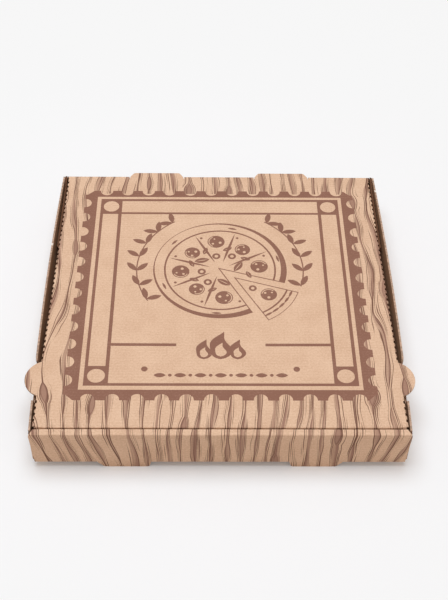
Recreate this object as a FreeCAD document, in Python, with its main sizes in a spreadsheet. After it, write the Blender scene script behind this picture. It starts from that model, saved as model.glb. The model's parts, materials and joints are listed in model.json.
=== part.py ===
import FreeCAD, Part
import math
import os
import Sketcher

# Folded corrugated pizza box, closed. Millimetres, +Z up, front towards -Y.
# The tray is one folded sheet and the lid is the rest of the same sheet, past the crease at the back.

SIZES = [
    # tray
    ("outer_width", 332.0, "over the side walls at the corners"),
    ("outer_depth", 342.0, "over the front and back walls"),
    ("wall_height", 40.0, "underside of the base to the top"),
    ("board", 1.6, "thickness of the corrugated board"),
    ("fold_radius", 1.2, "outside of every crease"),
    ("fit_gap", 0.3, "air between board that lies against board"),
    ("side_bow", 3.0, "how far the side walls bulge at mid-length"),
    # rolled front wall
    ("strip_depth", 7.0, "flat top of the front wall, both skins included"),
    ("strip_slant", 4.0, "cut-back of the strip's ends"),
    ("front_taper", 2.0, "how much narrower the front wall is at the base, each side"),
    # feet, the slots they leave and the tabs that lock in them
    ("foot_length", 6.3, "below the base"),
    ("foot_start", 61.4, "from the middle"),
    ("foot_width", 47.0, "at the base"),
    ("foot_end_start", 63.2, "its lower edge, from the middle"),
    ("foot_end_width", 39.5, "at the floor"),
    ("foot_round", 2.5, "lower corners"),
    ("lock_width", 38.0, "locking tab of the inner front wall"),
    ("lock_end_width", 33.0, "its lower edge"),
    ("lock_reach", 1.5, "below the base"),
    # corner flaps
    ("front_flap", 62.0, "length inside the front wall"),
    ("back_flap", 103.0, "length along the side wall"),
    ("back_flap_drop", 0.8, "its top edge below the side wall's, at the corner"),
    ("back_flap_dip", 6.0, "the same further along, so that it clears the lid"),
    ("flap_slope", 12.0, "slanted ends of the flaps"),
    ("flap_round", 4.0, "rounded corners of the flaps"),
    # ears of the lid and the notches below them
    ("ear_setback", 62.75, "middle of the ear behind the front of the box"),
    ("ear_length", 38.5, "along the crease"),
    ("ear_reach", 12.6, "out from the crease"),
    ("ear_margin", 3.75, "side wall's notch past the ear"),
    ("ear_notch_depth", 8.0, "below the top of the side wall"),
    ("notch_round", 3.0, "its lower corners"),
    ("notch_slant", 2.25, "its upper corners, cut off"),
    # tabs at the back crease
    ("tab_centre", 66.5, "from the middle"),
    ("tab_width", 56.7, "at the crease"),
    ("tab_end_width", 48.4, "at the free end"),
    ("tab_length", 6.5, "behind the hinge line"),
    ("tab_round", 3.0, "free corners"),
    ("tab_gap", 0.8, "around the tab when it swings through the back wall"),
    # lid
    ("lid_front_gap", 0.8, "between lid and front strip"),
    ("lid_side_gap", 0.9, "between lid and side wall at the front"),
    ("lid_back_gap", 2.0, "between lid and back corner flap"),
    ("tuck_height", 30.0, "front tuck flap, from the lid's top"),
    ("tuck_lean", 1.8, "how far its lower edge leans back"),
    ("tuck_inset", 2.0, "from the lid's side edge"),
    ("lid_flap_height", 32.0, "side flaps, from the lid's top"),
    ("lid_flap_front", 3.0, "start behind the lid's front edge"),
    ("lid_flap_back", 4.0, "end before the hinge line"),
    ("cut_pitch", 6.8, "perforation of the side creases"),
    ("cut_length", 3.2, "each cut"),
    ("cut_depth", 1.7, "from both faces of the corner, so it goes through the board"),
]

doc = FreeCAD.newDocument("pizza_box")
sheet = doc.addObject("Spreadsheet::Sheet", "Sizes")
for row, (alias, value, note) in enumerate(SIZES, start=1):
    sheet.set(f"A{row}", alias.replace("_", " "))
    sheet.set(f"B{row}", str(value))
    sheet.set(f"C{row}", note)
    sheet.setAlias(f"B{row}", alias)
doc.recompute()


class Size:
    """A length with its number and the sheet formula that it comes from."""

    def __init__(self, number, text):
        self.number = number
        self.text = text

    @staticmethod
    def of(other):
        return other if isinstance(other, Size) else Size(float(other), str(float(other)))

    def join(self, other, sign, number):
        return Size(number, f"({self.text} {sign} {other.text})")

    def __add__(self, other):
        other = Size.of(other)
        return self.join(other, "+", self.number + other.number)

    def __sub__(self, other):
        other = Size.of(other)
        return self.join(other, "-", self.number - other.number)

    def __mul__(self, other):
        other = Size.of(other)
        return self.join(other, "*", self.number * other.number)

    def __truediv__(self, other):
        other = Size.of(other)
        return self.join(other, "/", self.number / other.number)

    def __neg__(self):
        return Size(-self.number, f"(0 - {self.text})")


def size(alias):
    return Size(float(sheet.get(alias)), f"Sizes.{alias}")


ZERO = Size(0.0, "0")
LEAST_CHANGE = 0.01
# Half a circle's radius is this much over half its chord, so that rounding can't leave it short
ROUNDING = 1e-7

PLANES = {
    # plane: sign of its normal against the world axis that it is offset along
    "XY_Plane": 1,
    "XZ_Plane": -1,
    "YZ_Plane": 1,
}


class Corner:
    """A corner of an outline, rounded when it has a radius."""

    def __init__(self, x, y, radius=None):
        self.x = Size.of(x)
        self.y = Size.of(y)
        self.radius = radius
        self.point = FreeCAD.Vector(self.x.number, self.y.number, 0)


class Bulge:
    """The edge between two corners as an arc, its middle lying to the right of the way along it."""

    def __init__(self, radius, right=True):
        self.radius = radius
        self.right = right


def plane_of(body, role):
    return next(item for item in body.Origin.OriginFeatures if item.Role == role)


def fix(sketch, geometry, end, corner):
    """Ties a point to the sheet."""
    for kind, value in (("DistanceX", corner.x), ("DistanceY", corner.y)):
        index = sketch.addConstraint(Sketcher.Constraint(kind, geometry, end, value.number))
        sketch.setExpression(f"Constraints[{index}]", value.text)


def set_radius(sketch, geometry, radius):
    index = sketch.addConstraint(Sketcher.Constraint("Radius", geometry, radius.number))
    sketch.setExpression(f"Constraints[{index}]", radius.text)


def arc_between(start, end, centre, radius, left):
    """Arc from start to end round the centre. It gives the arc and the ids of its two ends."""
    first, last = (start, end) if left else (end, start)
    angle_a = math.atan2(first.y - centre.y, first.x - centre.x)
    angle_b = math.atan2(last.y - centre.y, last.x - centre.x)
    if angle_b < angle_a:
        angle_b += 2 * math.pi
    circle = Part.Circle(centre, FreeCAD.Vector(0, 0, 1), radius)
    return Part.ArcOfCircle(circle, angle_a, angle_b), (1, 2) if left else (2, 1)


def draw(sketch, outline):
    """Draws a closed outline of corners and bulges, each tied to the sheet."""
    corners = [item for item in outline if isinstance(item, Corner)]
    bulges = {}
    for place, item in enumerate(outline):
        if isinstance(item, Bulge):
            bulges[corners.index(outline[place - 1])] = item
    count = len(corners)
    starts, ends, arcs = {}, {}, {}
    for i, corner in enumerate(corners):
        before = (corners[i - 1].point - corner.point).normalize()
        after = (corners[(i + 1) % count].point - corner.point).normalize()
        starts[i] = ends[i - 1 if i else count - 1] = corner.point
        if corner.radius:
            half = before.getAngle(after) / 2
            cut = corner.radius.number / math.tan(half)
            first = corner.point + before * cut
            last = corner.point + after * cut
            centre = corner.point + (before + after).normalize() * (corner.radius.number / math.sin(half))
            left = (-before).cross(after).z > 0
            ends[i - 1 if i else count - 1] = first
            starts[i] = last
            arcs[i] = arc_between(first, last, centre, corner.radius.number, left)
    edges = {}
    for i in range(count):
        if i in bulges:
            chord = ends[i] - starts[i]
            radius = bulges[i].radius.number
            height = math.sqrt(radius * radius - chord.Length * chord.Length / 4)
            away = FreeCAD.Vector(-chord.y, chord.x, 0).normalize() * height
            centre = (starts[i] + ends[i]) * 0.5 + (away if bulges[i].right else -away)
            arc, tips = arc_between(starts[i], ends[i], centre, radius, bulges[i].right)
            edges[i] = (sketch.addGeometry(arc), tips)
        else:
            edges[i] = (sketch.addGeometry(Part.LineSegment(starts[i], ends[i])), (1, 2))
    for i, corner in enumerate(corners):
        line_in, tips_in = edges[i - 1 if i else count - 1]
        line_out, tips_out = edges[i]
        if i in arcs:
            arc, tips = arcs[i]
            bend = sketch.addGeometry(arc)
            mark = sketch.addGeometry(Part.Point(corner.point), True)
            sketch.addConstraint(Sketcher.Constraint("PointOnObject", mark, 1, line_in))
            sketch.addConstraint(Sketcher.Constraint("PointOnObject", mark, 1, line_out))
            sketch.addConstraint(Sketcher.Constraint("Tangent", line_in, tips_in[1], bend, tips[0]))
            sketch.addConstraint(Sketcher.Constraint("Tangent", bend, tips[1], line_out, tips_out[0]))
            set_radius(sketch, bend, corner.radius)
            fix(sketch, mark, 1, corner)
        else:
            sketch.addConstraint(
                Sketcher.Constraint("Coincident", line_in, tips_in[1], line_out, tips_out[0])
            )
            fix(sketch, line_out, tips_out[0], corner)
    for i, bulge in bulges.items():
        set_radius(sketch, edges[i][0], bulge.radius)


def sketch_on(body, name, role, place, outline):
    """A sketch on one of the body's own planes, moved along the world axis to its place."""
    sketch = body.newObject("Sketcher::SketchObject", name)
    sketch.AttachmentSupport = [(plane_of(body, role), "")]
    sketch.MapMode = "FlatFace"
    place = Size.of(place) if PLANES[role] > 0 else -Size.of(place)
    sketch.setExpression("AttachmentOffset.Base.z", place.text)
    draw(sketch, outline)
    doc.recompute()
    return sketch


def volume_of(body):
    return body.Shape.Volume if body.Tip and not body.Shape.isNull() else 0.0


def settle(body, before, name):
    """Recomputes, and stops if a feature changed nothing."""
    doc.recompute()
    if abs(volume_of(body) - before) < LEAST_CHANGE:
        raise RuntimeError(f"{name} changes nothing, {body.Tip.getStatusString()}")


def slab(body, name, role, start, end, outline, cut=False):
    """Board or a cut between two places along the axis across the plane."""
    before = volume_of(body)
    sketch = sketch_on(body, name + "_outline", role, start, outline)
    kind = "PartDesign::Pocket" if cut else "PartDesign::Pad"
    feature = body.newObject(kind, name)
    feature.Profile = sketch
    feature.setExpression("Length", (Size.of(end) - Size.of(start)).text)
    feature.Reversed = cut == (PLANES[role] > 0)
    settle(body, before, name)
    return feature


def flipped(outline):
    """The same outline on the left of the middle plane."""
    turned = []
    for item in outline:
        if isinstance(item, Corner):
            turned.append(Corner(-item.x, item.y, item.radius))
        else:
            turned.append(Bulge(item.radius, not item.right))
    return turned


def slab_pair(body, name, role, start, end, outline, cut=False):
    """The same board or cut on the right and on the left."""
    start, end = Size.of(start), Size.of(end)
    across = role == "YZ_Plane"
    left_places = (-end, -start) if across else (start, end)
    left_outline = outline if across else flipped(outline)
    return (
        slab(body, name + "_right", role, start, end, outline, cut),
        slab(body, name + "_left", role, *left_places, left_outline, cut),
    )


def cut_slab(body, name, role, start, end, outline):
    return slab(body, name, role, start, end, outline, cut=True)


def cut_pair(body, name, role, start, end, outline):
    return slab_pair(body, name, role, start, end, outline, cut=True)


def loft(body, name, role, first, last):
    """Board that runs straight between two outlines, each given with its place."""
    before = volume_of(body)
    profile = sketch_on(body, name + "_first", role, *first)
    section = sketch_on(body, name + "_last", role, *last)
    feature = body.newObject("PartDesign::AdditiveLoft", name)
    feature.Profile = profile
    feature.Sections = [section]
    feature.Ruled = True
    settle(body, before, name)
    return feature


def new_body(label):
    body = doc.addObject("PartDesign::Body", label)
    body.Label = label
    body.setExpression("Placement.Base.y", middle_shift.text)
    return body


def box(x0, y0, x1, y1):
    return [Corner(x0, y0), Corner(x1, y0), Corner(x1, y1), Corner(x0, y1)]


# Shared places
half_width = size("outer_width") / 2
half_depth = size("outer_depth") / 2
board = size("board")
fold = size("fold_radius")
gap = size("fit_gap")
base_bottom = size("foot_length")
base_top = base_bottom + board
top = base_bottom + size("wall_height")
strip_bottom = top - board
hinge_y = half_depth - board / 2
hinge_z = top - board / 2
front_inner_face = -half_depth + size("strip_depth")
side_inner = half_width - board
flap_bottom = base_top + gap

# The origin lies below the middle of the whole outline, tabs at the back included
middle_shift = -(size("tab_length") - board / 2) / 2

# Tray
tray = new_body("tray")

# Base, back wall and rolled front wall, cut across their creases
wall_top_back = strip_bottom - gap
slab(
    tray,
    "folded_panels",
    "YZ_Plane",
    -half_width,
    half_width,
    [
        Corner(-half_depth, base_bottom, fold),
        Corner(half_depth, base_bottom, fold),
        Corner(half_depth, wall_top_back),
        Corner(half_depth - board, wall_top_back),
        Corner(half_depth - board, base_top),
        Corner(-half_depth + board, base_top),
        Corner(-half_depth + board, strip_bottom),
        Corner(front_inner_face - board, strip_bottom),
        Corner(front_inner_face - board, flap_bottom),
        Corner(front_inner_face, flap_bottom),
        Corner(front_inner_face, top, fold),
        Corner(-half_depth, top, fold),
    ],
)

# Ends of the panels: slanted on the strip, stepped back where the side wall and the corner flap fold
fold_start = half_width - fold
flap_outer = side_inner - gap
flap_inner = flap_outer - board
slot_end = front_inner_face + gap
far = half_width + board
behind = half_depth + board
cut_pair(
    tray,
    "panel_ends",
    "XY_Plane",
    ZERO,
    top + board,
    [
        Corner(half_width, -half_depth),
        Corner(far, -half_depth),
        Corner(far, behind),
        Corner(flap_inner, behind),
        Corner(flap_inner, half_depth - board - gap),
        Corner(fold_start, half_depth - board - gap),
        Corner(fold_start, slot_end),
        Corner(half_width - size("strip_slant"), front_inner_face),
    ],
)
cut_pair(
    tray,
    "front_wall_taper",
    "XZ_Plane",
    -half_depth,
    front_inner_face,
    [
        Corner(half_width, top),
        Corner(half_width - size("front_taper"), base_bottom),
        Corner(far, base_bottom),
        Corner(far, top),
    ],
)

# Side wall: its crease, then the panel, which bulges outwards towards its top edge
flap_front_face = -half_depth + board + gap
side_front = flap_front_face + board
side_back = half_depth - gap
crease_top = base_bottom + fold
slab_pair(
    tray,
    "side_crease",
    "XZ_Plane",
    slot_end,
    half_depth - board - gap,
    [
        Corner(fold_start - board, base_bottom),
        Corner(half_width, base_bottom, fold),
        Corner(half_width, base_top + board),
        Corner(side_inner, base_top + board),
        Corner(side_inner, base_top),
        Corner(fold_start - board, base_top),
    ],
)
bow = size("side_bow")
side_length = side_back - side_front
bow_radius = (side_length * side_length / 4 + bow * bow) / (bow * 2)
side_foot_outline = box(side_inner, side_front, half_width, side_back)
side_top_outline = [
    Corner(side_inner, side_front),
    Corner(half_width, side_front),
    Bulge(bow_radius),
    Corner(half_width, side_back),
    Corner(side_inner, side_back),
    Bulge(bow_radius, right=False),
]
loft(tray, "side_wall_right", "XY_Plane", (crease_top, side_foot_outline), (top, side_top_outline))
loft(
    tray,
    "side_wall_left",
    "XY_Plane",
    (crease_top, flipped(side_foot_outline)),
    (top, flipped(side_top_outline)),
)

# Corner flap of the side wall, inside the rolled front wall
flap_end = half_width - size("front_flap")
slab_pair(
    tray,
    "front_corner_flap",
    "XY_Plane",
    flap_bottom,
    strip_bottom - gap,
    [
        Corner(half_width, flap_front_face, fold),
        Corner(half_width, side_front),
        Corner(flap_end, side_front),
        Corner(flap_end, flap_front_face),
    ],
)
slope = size("flap_slope")
cut_pair(
    tray,
    "front_flap_slope",
    "XZ_Plane",
    flap_front_face,
    flap_front_face + board,
    [
        Corner(flap_end - board, flap_bottom - gap),
        Corner(flap_end + slope, flap_bottom - gap),
        Corner(flap_end, strip_bottom),
        Corner(flap_end - board, strip_bottom),
    ],
)

# Corner flap of the back wall, along the inside of the side wall
back_flap_end = half_depth - size("back_flap")
back_flap_top = top - size("back_flap_drop")
slab_pair(
    tray,
    "back_corner_flap",
    "XY_Plane",
    flap_bottom,
    back_flap_top,
    [
        Corner(flap_inner, half_depth),
        Corner(flap_inner, back_flap_end),
        Corner(flap_outer, back_flap_end),
        Corner(flap_outer, half_depth, fold),
    ],
)
cut_pair(
    tray,
    "back_flap_slope",
    "YZ_Plane",
    flap_inner,
    flap_outer,
    [
        Corner(back_flap_end - board, flap_bottom - gap),
        Corner(back_flap_end + slope, flap_bottom - gap),
        Corner(back_flap_end, back_flap_top + board),
        Corner(back_flap_end - board, back_flap_top + board),
    ],
)

dip_z = top - size("back_flap_dip")
cut_pair(
    tray,
    "back_flap_top_edge",
    "YZ_Plane",
    flap_inner,
    flap_outer,
    [
        Corner(back_flap_end - board, back_flap_top + board),
        Corner(back_flap_end - board, dip_z),
        Corner(half_depth - board - slope, dip_z),
        Corner(half_depth - board, back_flap_top + board),
    ],
)

# Feet: cut out of the base along the front and back creases, so they stay in the plane of their wall
foot_middle = size("foot_start") + size("foot_width") / 2
foot_half = size("foot_width") / 2
foot_end_start = size("foot_end_start")
foot_round = size("foot_round")
foot = [
    Corner(foot_middle - foot_half, crease_top),
    Corner(foot_middle - foot_half, base_bottom),
    Corner(foot_end_start, ZERO, foot_round),
    Corner(foot_end_start + size("foot_end_width"), ZERO, foot_round),
    Corner(foot_middle + foot_half, base_bottom),
    Corner(foot_middle + foot_half, crease_top),
]
for side, slot_from, slot_to, wall_from, wall_to in (
    ("front", -half_depth, slot_end, -half_depth, -half_depth + board),
    ("back", -slot_end, half_depth, half_depth - board, half_depth),
):
    cut_pair(
        tray,
        side + "_slot",
        "XY_Plane",
        base_bottom,
        base_top,
        box(foot_middle - foot_half, slot_from, foot_middle + foot_half, slot_to),
    )
    slab_pair(tray, side + "_foot", "XZ_Plane", wall_from, wall_to, foot)

# Tab of the inner front wall, locked in the slot behind the front foot
lock_half = size("lock_width") / 2
lock_end_half = size("lock_end_width") / 2
slab_pair(
    tray,
    "lock_tab",
    "XZ_Plane",
    front_inner_face - board,
    front_inner_face,
    [
        Corner(foot_middle - lock_half, flap_bottom + board),
        Corner(foot_middle - lock_half, base_bottom),
        Corner(foot_middle - lock_end_half, base_bottom - size("lock_reach")),
        Corner(foot_middle + lock_end_half, base_bottom - size("lock_reach")),
        Corner(foot_middle + lock_half, base_bottom),
        Corner(foot_middle + lock_half, flap_bottom + board),
    ],
)

# Notch in the back wall, left by the lid's tab and open enough for the tab to swing through
tab_gap = size("tab_gap")
tab_middle = size("tab_centre")
tab_half = size("tab_width") / 2
tab_end_half = size("tab_end_width") / 2
tab_reach = size("tab_length")
cut_pair(
    tray,
    "tab_notch",
    "XZ_Plane",
    half_depth - board,
    half_depth,
    [
        Corner(tab_middle - tab_half - tab_gap, hinge_z),
        Corner(tab_middle - tab_end_half - tab_gap, hinge_z - tab_reach - tab_gap),
        Corner(tab_middle + tab_end_half + tab_gap, hinge_z - tab_reach - tab_gap),
        Corner(tab_middle + tab_half + tab_gap, hinge_z),
    ],
)

# Notch in the side wall below the lid's ear
ear_middle = -half_depth + size("ear_setback")
ear_half = size("ear_length") / 2
notch_half = ear_half + size("ear_margin")
notch_round = size("notch_round")
notch_slant = size("notch_slant")
notch_bottom = top - size("ear_notch_depth")
cut_pair(
    tray,
    "ear_notch",
    "YZ_Plane",
    side_inner - gap,
    half_width + bow + gap,
    [
        Corner(ear_middle - notch_half - notch_slant - board, top + board),
        Corner(ear_middle - notch_half, top - notch_slant),
        Corner(ear_middle - notch_half, notch_bottom, notch_round),
        Corner(ear_middle + notch_half, notch_bottom, notch_round),
        Corner(ear_middle + notch_half, top - notch_slant),
        Corner(ear_middle + notch_half + notch_slant + board, top + board),
    ],
)

# Lid
lid = new_body("lid")
lid_front = front_inner_face + size("lid_front_gap")
lid_front_half = side_inner - size("lid_side_gap")
lid_back_half = flap_inner - size("lid_back_gap")
lid_flap_bottom = top - size("lid_flap_height")


def lid_section(edge):
    """Top panel and its two side flaps, cut across the side creases."""
    right = [
        Corner(edge - board, strip_bottom),
        Corner(edge - board, lid_flap_bottom),
        Corner(edge, lid_flap_bottom),
        Corner(edge, top, fold),
    ]
    return right + flipped(reversed(right))


# The side edges spread towards the front
loft(
    lid,
    "panel_and_side_flaps",
    "XZ_Plane",
    (lid_front + fold, lid_section(lid_front_half)),
    (hinge_y, lid_section(lid_back_half)),
)

# Ends of the side flap
inside = lid_back_half - board * 2
flap_start = lid_front + size("lid_flap_front")
flap_stop = hinge_y - size("lid_flap_back")
below = lid_flap_bottom - board
flap_round = size("flap_round")
cut_pair(
    lid,
    "side_flap_front_end",
    "YZ_Plane",
    inside,
    half_width,
    [
        Corner(lid_front, strip_bottom),
        Corner(lid_front, below),
        Corner(flap_start + slope + flap_round, below),
        Corner(flap_start + slope + flap_round, lid_flap_bottom),
        Corner(flap_start + slope, lid_flap_bottom, flap_round),
        Corner(flap_start, strip_bottom),
    ],
)
cut_pair(
    lid,
    "side_flap_back_end",
    "YZ_Plane",
    inside,
    half_width,
    [
        Corner(behind, strip_bottom),
        Corner(flap_stop, strip_bottom),
        Corner(flap_stop - slope, lid_flap_bottom, flap_round),
        Corner(flap_stop - slope - flap_round, lid_flap_bottom),
        Corner(flap_stop - slope - flap_round, below),
        Corner(behind, below),
    ],
)

# Ear: it stays in the lid's plane and leaves its own shape open in the side flap
ear_reach = size("ear_reach")
ear_radius = (ear_half * ear_half + ear_reach * ear_reach) / (ear_reach * 2)
edge_slope = (lid_front_half - lid_back_half) / (hinge_y - lid_front - fold)
ear_root = lid_back_half + edge_slope * (hinge_y - ear_middle)
cut_pair(
    lid,
    "ear_opening",
    "YZ_Plane",
    inside,
    half_width,
    [
        Corner(ear_middle + ear_half, strip_bottom),
        Corner(ear_middle - ear_half, strip_bottom),
        Bulge(ear_radius),
    ],
)
slab_pair(
    lid,
    "ear",
    "XY_Plane",
    strip_bottom,
    top,
    [
        Corner(ear_root - fold * 2, ear_middle - ear_half),
        Corner(ear_root, ear_middle - ear_half),
        Bulge(ear_radius),
        Corner(ear_root, ear_middle + ear_half),
        Corner(ear_root - fold * 2, ear_middle + ear_half),
    ],
)

# Front crease and tuck flap, leaning back so that it clears the front wall as the lid lifts
tuck_bottom = top - size("tuck_height")
lean = size("tuck_lean")
tuck_half = lid_front_half - size("tuck_inset")
slab(
    lid,
    "tuck_flap",
    "YZ_Plane",
    -tuck_half,
    tuck_half,
    [
        Corner(lid_front, top, fold),
        Corner(lid_front, strip_bottom),
        Corner(lid_front + lean, tuck_bottom),
        Corner(lid_front + lean + board, tuck_bottom),
        Corner(lid_front + board, strip_bottom),
        Corner(lid_front + board * 2, strip_bottom),
        Corner(lid_front + board * 2, top),
    ],
)
cut_pair(
    lid,
    "tuck_flap_end",
    "XZ_Plane",
    lid_front,
    lid_front + lean + board,
    [
        Corner(tuck_half, strip_bottom),
        Corner(tuck_half - slope, tuck_bottom, flap_round),
        Corner(tuck_half - slope - flap_round * 2, tuck_bottom),
        Corner(tuck_half - slope - flap_round * 2, tuck_bottom - board),
        Corner(tuck_half + board, tuck_bottom - board),
        Corner(tuck_half + board, strip_bottom),
    ],
)

# Round back edge on the hinge line, and the tab that sticks out behind it
nose = board / 2
slab(
    lid,
    "back_edge",
    "YZ_Plane",
    -lid_back_half,
    lid_back_half,
    [
        Corner(hinge_y - board, strip_bottom),
        Corner(hinge_y, strip_bottom),
        Bulge(nose * (1 + ROUNDING)),
        Corner(hinge_y, top),
        Corner(hinge_y - board, top),
    ],
)
tab_round = size("tab_round")
slab_pair(
    lid,
    "back_tab",
    "XY_Plane",
    strip_bottom,
    top,
    [
        Corner(tab_middle - tab_half, hinge_y - board),
        Corner(tab_middle + tab_half, hinge_y - board),
        Corner(tab_middle + tab_half, hinge_y),
        Corner(tab_middle + tab_end_half, hinge_y + tab_reach, tab_round),
        Corner(tab_middle - tab_end_half, hinge_y + tab_reach, tab_round),
        Corner(tab_middle - tab_half, hinge_y),
    ],
)

# Perforation of the side crease, in front of the ear and behind it
cut_length = size("cut_length")
cut_depth = size("cut_depth")
cut_pitch = size("cut_pitch")


def perforate(name, first, last):
    """Short cuts through the side creases, evenly spaced along them.

    The outline's first side runs along the crease and gives the row its direction.
    """
    count = int((last.number - first.number - cut_length.number) / cut_pitch.number) + 1
    start_edge = lid_back_half + edge_slope * (hinge_y - first)
    end_edge = start_edge - edge_slope * cut_length
    cuts = cut_pair(
        lid,
        name,
        "XY_Plane",
        top - cut_depth,
        top,
        [
            Corner(start_edge - cut_depth, first),
            Corner(end_edge - cut_depth, first + cut_length),
            Corner(end_edge + gap, first + cut_length),
            Corner(start_edge + gap, first),
        ],
    )
    for cut in cuts:
        before = volume_of(lid)
        row = lid.newObject("PartDesign::LinearPattern", cut.Name + "_row")
        row.Originals = [cut]
        row.Direction = (cut.Profile[0], ["Edge1"])
        row.Occurrences = count
        row.setExpression("Length", (cut_pitch * (count - 1)).text)
        row.Refine = False
        lid.Tip = row
        settle(lid, before, row.Name)


perforate("cuts_behind_ear", ear_middle + ear_half + cut_length, flap_stop - cut_length)
perforate("cuts_before_ear", flap_start + cut_length, ear_middle - ear_half - cut_length)


# Checks, then one file for each sub-part
doc.recompute()
for item in doc.Objects:
    if "Invalid" in item.State or "Error" in item.State:
        raise RuntimeError(f"{item.Name} failed: {item.State}")
os.makedirs("parts", exist_ok=True)
for body in (tray, lid):
    shape = body.Shape
    if shape.isNull() or not shape.isValid() or len(shape.Solids) != 1:
        raise RuntimeError(f"{body.Label} isn't one valid solid")
    shape.exportStep(os.path.join("parts", body.Label + ".step"))
    print(body.Label, round(shape.Volume / 1000, 2), "cm3", shape.BoundBox)
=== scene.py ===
"""Looks of a folded corrugated pizza box.

Every panel is a sheet of board: a flat outline, with real cut edges that show the flutes, laid on a
folded section. Lengths are millimetres, turned into metres when a mesh is made.
"""

import json
import math

import bpy
import numpy as np
from mathutils import Matrix, Vector
from mathutils.geometry import delaunay_2d_cdt


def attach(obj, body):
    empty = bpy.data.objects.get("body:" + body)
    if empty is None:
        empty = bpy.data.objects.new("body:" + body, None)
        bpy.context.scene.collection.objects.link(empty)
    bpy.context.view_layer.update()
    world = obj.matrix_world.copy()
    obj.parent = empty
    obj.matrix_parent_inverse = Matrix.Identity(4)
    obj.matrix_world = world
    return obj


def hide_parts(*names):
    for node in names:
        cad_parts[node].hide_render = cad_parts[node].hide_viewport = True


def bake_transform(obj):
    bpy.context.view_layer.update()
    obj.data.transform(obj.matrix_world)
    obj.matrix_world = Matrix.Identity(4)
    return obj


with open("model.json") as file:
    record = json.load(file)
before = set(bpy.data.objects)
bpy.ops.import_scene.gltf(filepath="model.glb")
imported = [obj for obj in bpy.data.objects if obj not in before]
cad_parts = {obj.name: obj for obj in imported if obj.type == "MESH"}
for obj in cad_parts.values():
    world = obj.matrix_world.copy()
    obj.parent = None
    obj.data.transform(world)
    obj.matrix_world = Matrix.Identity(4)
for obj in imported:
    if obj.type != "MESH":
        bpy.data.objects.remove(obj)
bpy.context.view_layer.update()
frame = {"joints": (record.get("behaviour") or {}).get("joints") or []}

MM = 0.001

# Board
BOARD = 1.6
FOLD = 1.2
FOLD_INSIDE = 0.3
LINER = 0.16
MEDIUM = 0.06
FLUTE_PITCH = 3.2
FLUTE_SWING = 0.25
FLUTE_RECESS = 0.55

# Box, as in the solid model
HALF_W = 166.0
HALF_D = 171.0
FOOT = 6.3
TOP = 46.3
GAP = 0.3
SIDE_BOW = 3.0
STRIP_DEPTH = 7.0
STRIP_SLANT = 4.0
FRONT_TAPER = 2.0
SLOPE = 12.0
FLAP_ROUND = 4.0
FOOT_HALF = 23.5
FOOT_MIDDLE = 61.4 + FOOT_HALF
FOOT_END_START = 63.2
FOOT_END_STOP = FOOT_END_START + 39.5
FOOT_ROUND = 2.5
LOCK_HALF = 19.0
LOCK_END_HALF = 16.5
LOCK_REACH = 1.5
TAB_MIDDLE = 66.5
TAB_HALF = 28.35
TAB_END_HALF = 24.2
TAB_LENGTH = 6.5
TAB_GAP = 0.8
EAR_MIDDLE = -HALF_D + 62.75
EAR_HALF = 19.25
EAR_REACH = 12.6
NOTCH_HALF = EAR_HALF + 3.75
NOTCH_BOTTOM = TOP - 8.0
FRONT_FLAP = 62.0
BACK_FLAP = 103.0
TUCK_FLAP = 30.0
SIDE_FLAP = 32.0
CREASE_SPAN = 2.3
CUT_PITCH = 6.8
CUT_LENGTH = 3.2
CUT_LOW = 0.55
CUT_HIGH = 3.2

# Set-up of the folded box: how far its parts lie from the plain form
LID_FRONT_GAP = 1.1
LID_SIDE_GAP = 0.9
SIDE_TUCK = 1.3
TUCK_REACH = 30.0
SAG = 0.9

# Print on the unfolded sheet
PRINT_SHIFT = -1.0
PIZZA_MIDDLE = (0.5, 40.0)
PICTURE_MIDDLE = (0.5, 33.0)
PICTURE_SCALE = 1.08
LEAN = 7.5
LEAN_MIDDLE = 5.0
LEAN_REACH = 145.0
LEAN_HEIGHT = 38.0
BITE = 6.4
BITE_DEPTH = 0.7
BITES = 12

# Materials by their places in the list
PRINTED, INKED, PLAIN, CUT, SHADED = range(5)

hinge = frame["joints"][0]["pos_m"]
SHIFT_Y = hinge[1] / MM - (HALF_D - BOARD / 2)

strip_bottom = TOP - BOARD
base_top = FOOT + BOARD
flap_bottom = base_top + GAP
front_inner = -HALF_D + STRIP_DEPTH
side_inner = HALF_W - BOARD
flap_outer = side_inner - GAP
flap_inner = flap_outer - BOARD
hinge_y = HALF_D - BOARD / 2
hinge_z = TOP - BOARD / 2
crease_top = FOOT + FOLD
lid_front = front_inner + LID_FRONT_GAP


def box_shift(x, y, z):
    """Points in the frame's place, from the box's own coordinates."""
    return np.stack(np.broadcast_arrays(x, y + SHIFT_Y, z), axis=-1).astype(float)


# Flat outlines

def arc_points(centre, radius, start, end, step=0.35):
    """Points centre + radius (cos a, sin a), with a from start to end."""
    count = max(4, int(abs(end - start) / step) + 1)
    a = np.linspace(start, end, count)
    return [(centre[0] + radius * math.cos(v), centre[1] + radius * math.sin(v)) for v in a]


def corner_arc(corner, before, after, radius):
    """Centre, first angle and turn of the arc that rounds a corner; before and after are ways out of it."""
    before = before / np.linalg.norm(before)
    after = after / np.linalg.norm(after)
    half = math.acos(float(np.clip(before @ after, -1, 1))) / 2
    bisector = (before + after) / np.linalg.norm(before + after)
    centre = corner + bisector * radius / math.sin(half)
    first = corner + before * radius / math.tan(half) - centre
    last = corner + after * radius / math.tan(half) - centre
    turn = math.atan2(first[0] * last[1] - first[1] * last[0], float(first @ last))
    return centre, math.atan2(first[1], first[0]), turn


def rounded(corners, step=0.35):
    """A closed outline from (x, y) or (x, y, radius) corners."""
    outline = []
    for i, corner in enumerate(corners):
        if len(corner) < 3:
            outline.append(tuple(map(float, corner)))
            continue
        here, before, after = (
            np.array(point[:2], float) for point in (corner, corners[i - 1], corners[(i + 1) % len(corners)])
        )
        centre, start, turn = corner_arc(here, before - here, after - here, corner[2])
        outline += arc_points(centre, corner[2], start, start + turn, step)
    return outline


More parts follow.
